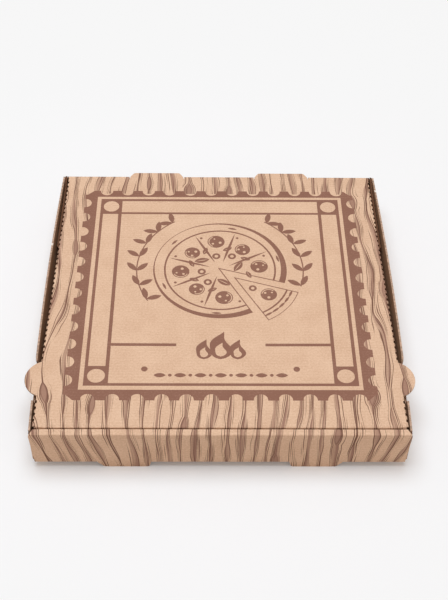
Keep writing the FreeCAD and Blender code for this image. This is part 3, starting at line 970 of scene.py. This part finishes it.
def basil(x, y, length, width, angle):
    """A leaf with a bare midrib."""
    return [leaf(x, y, length, width, angle), leaf(x, y, 0.8 * length, 0.11 * width, angle)]


def stamp_edge():
    """Outline of the band: bevelled corners, and between them bites, arcs of circles that the edge cuts."""
    low, high = (-140.0, -132.0), (140.5, 148.5)
    xs, ys = (np.linspace(first, last, BITES) for first, last in ((-118.0, 123.8), (-109.3, 128.8)))
    half = math.pi / 2 + math.asin(BITE_DEPTH / BITE)

    def bevel(x, y, in_x, in_y):
        return [(x, y + in_y * 6.5), (x + in_x * 2.5, y + in_y * 6.2), (x + in_x * 9.0, y)]

    def bites(middles, facing):
        return [p for middle in middles for p in arc_points(middle, BITE, facing + half, facing - half, 0.25)]

    outline = bevel(*low, 1, 1) + bites([(x, low[1] + BITE_DEPTH) for x in xs], math.pi / 2)
    outline += bevel(high[0], low[1], -1, 1)[::-1] + bites([(high[0] - BITE_DEPTH, y) for y in ys], math.pi)
    outline += bevel(*high, -1, -1) + bites([(x, high[1] - BITE_DEPTH) for x in xs[::-1]], -math.pi / 2)
    outline += bevel(low[0], high[1], 1, -1)[::-1] + bites([(low[0] + BITE_DEPTH, y) for y in ys[::-1]], 0.0)
    return outline


def frame_inks():
    """The frame: a band with a stamp's edge, a thin rectangle, corner blocks with bare discs, and rules."""
    shapes = [
        [stamp_edge(), block(-127.0, -120.0, 128.0, 138.8)],
        [block(-123.0, -115.5, 124.5, 135.5), block(-120.0, -112.5, 121.3, 132.2)],
    ]
    for x0, x1 in ((-123.0, -100.8), (102.4, 124.5)):
        for y0, y1 in ((-115.5, -92.5), (112.3, 135.5)):
            shapes.append([block(x0, y0, x1, y1), disc((x0 + x1) / 2, (y0 + y1) / 2, 8.0, 0.2)])
    for rule in (
        (-104.2, -95.0, -100.8, 115.0),
        (102.4, -95.0, 105.7, 115.0),
        (-102.0, 112.3, 104.0, 115.0),
        (-101.5, -68.2, -40.5, -64.8),
        (42.0, -68.2, 103.5, -64.8),
    ):
        shapes.append([block(*rule)])
    return shapes + [[disc(x, -95.8, 3.0, 0.3)] for x in (-68.8, 69.4)]


def pizza_inks(centre):
    """A round pizza in line, with one slice drawn out."""
    shapes = []
    low, high = math.radians(-62), math.radians(-17)
    middle = (low + high) / 2
    turn = low + 2 * math.pi - high
    tip = centre + 16.0 * toward(middle)
    for place, start, stop in ((centre, high, high + turn), (tip, low + 0.02, high - 0.02)):
        bare = place + 2.6 * toward((start + stop) / 2)
        shapes.append([wedge(place, 0.0, 61.0, start, stop), wedge(bare, 0.0, 57.8, start, stop)])
        shapes.append([wedge(place, 49.6, 51.2, start, stop)])
        for k in range(5):
            angle = start + (stop - start) * (k + 0.5) / 5
            shapes.append([leaf(*(place + 54.8 * toward(angle)), 9.0, 2.2, angle + math.pi / 2)])
    for k in range(1, 7):
        angle = high + turn * k / 7
        shapes.append([leaf(*(centre + 29.0 * toward(angle)), 40.0, 2.3, angle)])
    for k in range(7):
        angle = high + turn * (k + 0.5) / 7
        odd = k % 2
        shapes.append(salami(*(centre + (36.0 - 3.0 * odd) * toward(angle)), 8.0 - 0.8 * odd, angle))
        x, y = centre + (17.0 + 3.0 * odd) * toward(angle + 0.1)
        shapes.append([disc(x, y, 3.8), disc(x, y, 1.7)] if k % 3 else basil(x, y, 14.0, 6.4, angle + 0.9))
        shapes.append([disc(*(centre + 44.0 * toward(angle + 0.31)), 1.3)])
        shapes.append(basil(*(centre + 27.0 * toward(angle - 0.36)), 9.5, 4.4, angle - 1.2))
    shapes.append(salami(*(tip + 38.0 * toward(middle + 0.08)), 7.4, 0.4))
    ring = tip + 22.0 * toward(middle)
    shapes.append([disc(*ring, 3.6), disc(*ring, 1.6)])
    return shapes


def sprig_inks(centre):
    """A curved stem with pairs of leaves at each side, the right one shorter, where the slice lies."""
    shapes = []
    for side in (-1, 1):
        def on_stem(radius, angle, side=side):
            return centre[0] + side * radius * math.sin(angle), centre[1] + radius * math.cos(angle)

        def kept(points, side=side):
            return [p for p in points if side < 0 or p[1] >= centre[1] - 24.0]

        for angle in (math.radians(120 - 84 * (k / 6)) for k in range(7)):
            for x, y in kept([on_stem(76.0, angle)]):
                for lean in (0.75, -0.75):
                    heading = math.pi / 2 - side * (math.pi / 2 - angle) + lean
                    shapes.append([leaf(*((x, y) + 7.0 * toward(heading)), 14.0, 5.4, heading)])
        stem = [on_stem(76.6, math.radians(v)) for v in np.linspace(122, 34, 30)]
        stem += [on_stem(75.4, math.radians(v)) for v in np.linspace(34, 122, 30)]
        shapes.append([kept(stem)])
    return shapes


def flame(x, y, height):
    """A drop with a bare drop inside: half width = a sin(pi t^0.62), leaning by b t sin(2.4 pi t)."""
    shapes = []
    t = np.linspace(0, 1, 22)
    for scale, lift in ((1.0, 0.0), (0.5, 0.10)):
        half = 0.30 * height * scale * np.sin(np.pi * t ** 0.62)
        lean = 0.10 * height * scale * np.sin(2.4 * np.pi * t) * t
        rise = y + height * (lift + scale * t)
        left = list(zip(x + lean - half, rise))
        shapes.append(list(zip(x + lean + half, rise)) + left[-2:0:-1])
    return shapes


def picture_inks():
    """A pizza with sprigs at its sides, flames and a row of lozenges below."""
    centre = np.array(PIZZA_MIDDLE)
    shapes = [
        [enlarged(loop, centre, PICTURE_MIDDLE, PICTURE_SCALE) for loop in shape]
        for shape in pizza_inks(centre) + sprig_inks(centre)
    ]
    shapes += [flame(x, -84.0, 34.0 * size) for x, size in ((-15.0, 0.72), (0.5, 1.0), (16.0, 0.72))]
    for k in range(-6, 7):
        x = 0.5 + k * 9.2
        shapes.append([disc(x, -103.0, 1.7) if k % 2 else leaf(x, -103.0, 11.0, 5.0, 0.0)])
    return shapes


# Lid
def lid_edge(y):
    """Half width of the lid at y, spreading evenly from the hinge to the front."""
    front_half = side_inner - LID_SIDE_GAP
    back_half = flap_inner - 2.0
    t = (hinge_y - y) / (hinge_y - lid_front - FOLD)
    return back_half + (front_half - back_half) * t


def lid_sag(x, y):
    """The panel sinks a little between its creases: d = a + b cos^2(pi x / w) sin^2(pi y' / l)."""
    along = np.clip((y - front_inner) / (hinge_y - front_inner), 0, 1)
    across = np.clip(x / HALF_W, -1, 1)
    return 0.06 + SAG * np.cos(across * np.pi / 2) ** 2 * np.sin(np.pi * along) ** 2


def build_lid():
    """The top panel with its tuck flap, ears and tabs, and the side flaps with their perforated creases."""
    lid = Sheet()
    lean = 1.8
    tuck_bottom = TOP - TUCK_FLAP
    end_y = hinge_y + TAB_LENGTH
    panel = Section(
        [(lid_front + lean, tuck_bottom), (lid_front, TOP), (end_y, TOP)],
        [(lid_front + lean + BOARD, tuck_bottom), (lid_front + BOARD, strip_bottom), (end_y, strip_bottom)],
    )
    at_front = panel.corner[1]

    def s_of(y):
        return at_front + (y - lid_front - BOARD / 2)

    def place(c, s, w):
        y, z = panel.at(s, w)
        return box_shift(c, y, z - lid_sag(c, y))

    def blank(c, s):
        return np.stack((c, s - s_of(0.0)), axis=-1)

    start_in = 2.4
    tuck_half = side_inner - LID_SIDE_GAP - 2.0
    crease_y = hinge_y - CREASE_SPAN
    ear_root = float(lid_edge(EAR_MIDDLE))
    ear_start, ear_stop = EAR_MIDDLE - EAR_HALF, EAR_MIDDLE + EAR_HALF
    y0 = lid_front + 1.4

    def rim(y):
        return (float(lid_edge(y)) - start_in, s_of(y))

    ear = chord_arc((ear_root, ear_start), (ear_root, ear_stop), EAR_REACH, 36)
    right = rounded([
        (0.0, 0.0), (tuck_half - SLOPE, 0.0, FLAP_ROUND),
        (tuck_half, at_front - 2.0), (tuck_half, at_front), rim(y0), rim(ear_start),
    ])
    right += [(x, s_of(y)) for x, y in ear]
    tab = tongue(TAB_MIDDLE, [
        (TAB_HALF, s_of(crease_y)), (TAB_HALF, s_of(hinge_y)), (TAB_END_HALF, s_of(end_y) - 0.01, 3.0),
    ])
    right += rounded([rim(ear_stop), rim(crease_y), *reversed(tab)])
    inks = [
        [[(x, s_of(y + PRINT_SHIFT)) for x, y in loop] for loop in shape]
        for shape in frame_inks() + picture_inks()
    ]
    lid.add([right + flip(right)], panel.rows, place, blank, 1, inks=inks)

    side_fold = Section(
        [(-start_in, TOP), (0.0, TOP), (0.0, TOP - SIDE_FLAP)],
        [(-start_in, strip_bottom), (-BOARD, strip_bottom), (-BOARD, TOP - SIDE_FLAP)],
    )
    under = side_fold.corner[1] + BOARD / 2
    low = side_fold.corner[2]
    flap_start = lid_front + 3.0
    flap_stop = hinge_y - 4.0
    flap = rounded([
        (y0, 0.0), (y0, under), (flap_start, under), (flap_start + SLOPE, low, FLAP_ROUND),
        (flap_stop - SLOPE, low, FLAP_ROUND), (flap_stop, under), (crease_y, under), (crease_y, 0.0),
        (ear_stop, 0.0),
    ]) + ear_gap(under) + [(ear_start, 0.0)]
    cuts = []
    for first, last in ((ear_stop, flap_stop), (flap_start, ear_start)):
        first, last = first + CUT_LENGTH, last - CUT_LENGTH
        for k in range(int((last - first - CUT_LENGTH) / CUT_PITCH) + 1):
            y = first + CUT_PITCH * k
            cuts.append(rounded([(*p, 0.4) for p in block(y, CUT_LOW, y + CUT_LENGTH, CUT_HIGH)], 0.8))
    for side in (1, -1):
        def flap_place(c, s, w, side=side):
            x, z = side_fold.at(s, w)
            x = lid_edge(c) + x
            return box_shift(side * x, c, z - lid_sag(x, c))

        def flap_blank(c, s, side=side):
            return np.stack((side * (lid_edge(c) - start_in + s), c), axis=-1)

        # The perforations' cut faces get painted shade
        lid.add([flap], side_fold.rows, flap_place, flap_blank, 0, slits=cuts)
    return lid


def ear_gap(under):
    """The half oval left in the side flap where the ear was cut from it."""
    radius = (EAR_HALF * EAR_HALF + EAR_REACH * EAR_REACH) / (2 * EAR_REACH)
    spread = math.asin(EAR_HALF / radius)
    centre = np.array((EAR_MIDDLE, under - (radius - EAR_REACH)))
    return [tuple(centre + radius * toward(math.pi / 2 - a)) for a in np.linspace(spread, -spread, 36)]


def build_crease():
    """The crease from the back wall to the lid, between the tabs, and the wall's ends beside the lid."""
    crease = Sheet()
    low = TOP - CREASE_SPAN - 1.0
    start = hinge_y - CREASE_SPAN
    bend = Section(
        [(HALF_D, low), (HALF_D, TOP), (start, TOP)],
        [(HALF_D - BOARD, low), (HALF_D - BOARD, strip_bottom), (start, strip_bottom)],
    )
    end = bend.corner[-1]

    def place(c, s, w):
        y, z = bend.at(s, w)
        return box_shift(c, y, z - lid_sag(c, y) * np.clip((s - 1.0) / (end - 1.0), 0, 1))

    def blank(c, s):
        return np.stack((c, start + (end - s)), axis=-1)

    near = TAB_MIDDLE - TAB_HALF - TAB_GAP
    far = TAB_MIDDLE + TAB_HALF + TAB_GAP
    edge = float(lid_edge(hinge_y))
    for x0, x1 in ((-edge, -far), (-near, near), (far, edge)):
        crease.add([block(x0, 0.0, x1, end)], bend.rows, place, blank, 1)
    wall_end, rise = flap_inner - 0.6, bend.corner[1] - 0.05
    for x0, x1 in ((-wall_end, -edge - 0.1), (edge + 0.1, wall_end)):
        # The wall's ends beside the lid get painted shade on their cut edges
        crease.add([block(x0, 0.0, x1, rise)], [], place, blank, 1, edge=SHADED)
    return crease


tray_piece = build_tray().build("tray_board")
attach(tray_piece, "tray")
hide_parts("tray")

lid_piece = build_lid().build("lid_board")
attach(lid_piece, "lid")
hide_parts("lid")

crease_piece = build_crease().build("back_crease")
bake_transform(crease_piece)


# Studio
def area_light(name, place, size, power, colour=(1, 1, 1)):
    """A disc of light that faces the box."""
    light = bpy.data.lights.new(name, "AREA")
    light.shape = "DISK"
    light.size = size
    light.energy = power
    light.color = colour
    lamp = new_object(name, light)
    lamp.location = place
    lamp.rotation_euler = (-Vector(place)).to_track_quat("-Z", "Y").to_euler()


FLOOR_COLOUR = (0.88, 0.895, 0.90, 1)
PAINTED_GLOW_COLOUR = (0.93, 0.93, 0.93, 1)
# Painted light: the camera sees the floor mixed with an emission, weak by the box and strong further off,
# which lightens the box's shadow
NEAR_GLOW = 0.12
FAR_GLOW = 0.85
GLOW_START = 0.19
GLOW_END = 0.50
WORLD_COLOUR = (1.0, 0.80, 0.68, 1)
WORLD_STRENGTH = 0.49


def build_floor():
    """A matt floor with painted light: to the camera it glows, little near the box so that its shadow stays,
    and more and more with the distance from the box, which lightens the shadow further out.
    """
    mesh = bpy.data.meshes.new("floor")
    mesh.from_pydata([(x, y, 0) for x, y in block(-6.0, -6.0, 6.0, 6.0)], [], [(0, 1, 2, 3)])
    floor = new_object("floor", mesh)
    material = bpy.data.materials.new("floor_painted_glow")
    material.use_nodes = True
    shader = material.node_tree.nodes["Principled BSDF"]
    shader.inputs["Base Color"].default_value = FLOOR_COLOUR
    shader.inputs["Roughness"].default_value = 0.9
    shader.inputs["Specular IOR Level"].default_value = 0.1
    tree = Nodes(material.node_tree)
    painted_glow = tree.add("ShaderNodeEmission", {"Color": PAINTED_GLOW_COLOUR, "Strength": 1.0}).outputs[0]
    place = tree.add("ShaderNodeTexCoord").outputs["Object"]
    away = tree.add("ShaderNodeVectorMath", {0: place}, operation="LENGTH").outputs["Value"]
    glow = tree.ramp(away, GLOW_START, GLOW_END) * (FAR_GLOW - NEAR_GLOW) + NEAR_GLOW
    seen = glow * tree.add("ShaderNodeLightPath").outputs["Is Camera Ray"]
    both = tree.add("ShaderNodeMixShader", {0: seen, 1: shader.outputs[0], 2: painted_glow})
    tree.put(both.outputs[0], material.node_tree.nodes["Material Output"].inputs["Surface"])
    mesh.materials.append(material)


def build_world():
    """An even, warm surrounding light."""
    world = bpy.data.worlds.new("studio")
    bpy.context.scene.world = world
    world.use_nodes = True
    background = world.node_tree.nodes["Background"]
    background.inputs["Color"].default_value = WORLD_COLOUR
    background.inputs["Strength"].default_value = WORLD_STRENGTH


build_floor()
build_world()
area_light("key", (-0.15, 0.14, 2.25), 1.75, 36.5, (0.935, 1.05, 1.15))
area_light("fill", (0.9, -1.2, 1.2), 1.2, 1)

# Camera at the photograph's viewpoint, which was fitted to the box's corners
CAMERA_PLACE = (-12.2, -739.1, 817.0)
YAW, PITCH, ROLL = (math.radians(v) for v in (1.280, 46.615, 1.105))
FOCAL_PIXELS = 1104.8
PHOTO_HEIGHT = 600
SENSOR = 36.0


def build_camera():
    """The fitted camera: forward from yaw and pitch, then turned about it by roll."""
    data = bpy.data.cameras.new("camera")
    data.sensor_width = SENSOR
    data.lens = SENSOR * FOCAL_PIXELS / PHOTO_HEIGHT
    camera = new_object("camera", data)
    forward = Vector((math.sin(YAW) * math.cos(PITCH), math.cos(YAW) * math.cos(PITCH), -math.sin(PITCH)))
    right = Vector((math.cos(YAW), -math.sin(YAW), 0))
    up = right.cross(forward)
    tilted_right = right * math.cos(ROLL) + up * math.sin(ROLL)
    tilted_up = up * math.cos(ROLL) - right * math.sin(ROLL)
    x, y, z = CAMERA_PLACE
    matrix = Matrix((tilted_right, tilted_up, -forward)).transposed().to_4x4()
    matrix.translation = Vector((x, y + SHIFT_Y, z)) * MM
    camera.matrix_world = matrix
    bpy.context.scene.camera = camera


build_camera()
bpy.context.scene.view_settings.view_transform = "Standard"
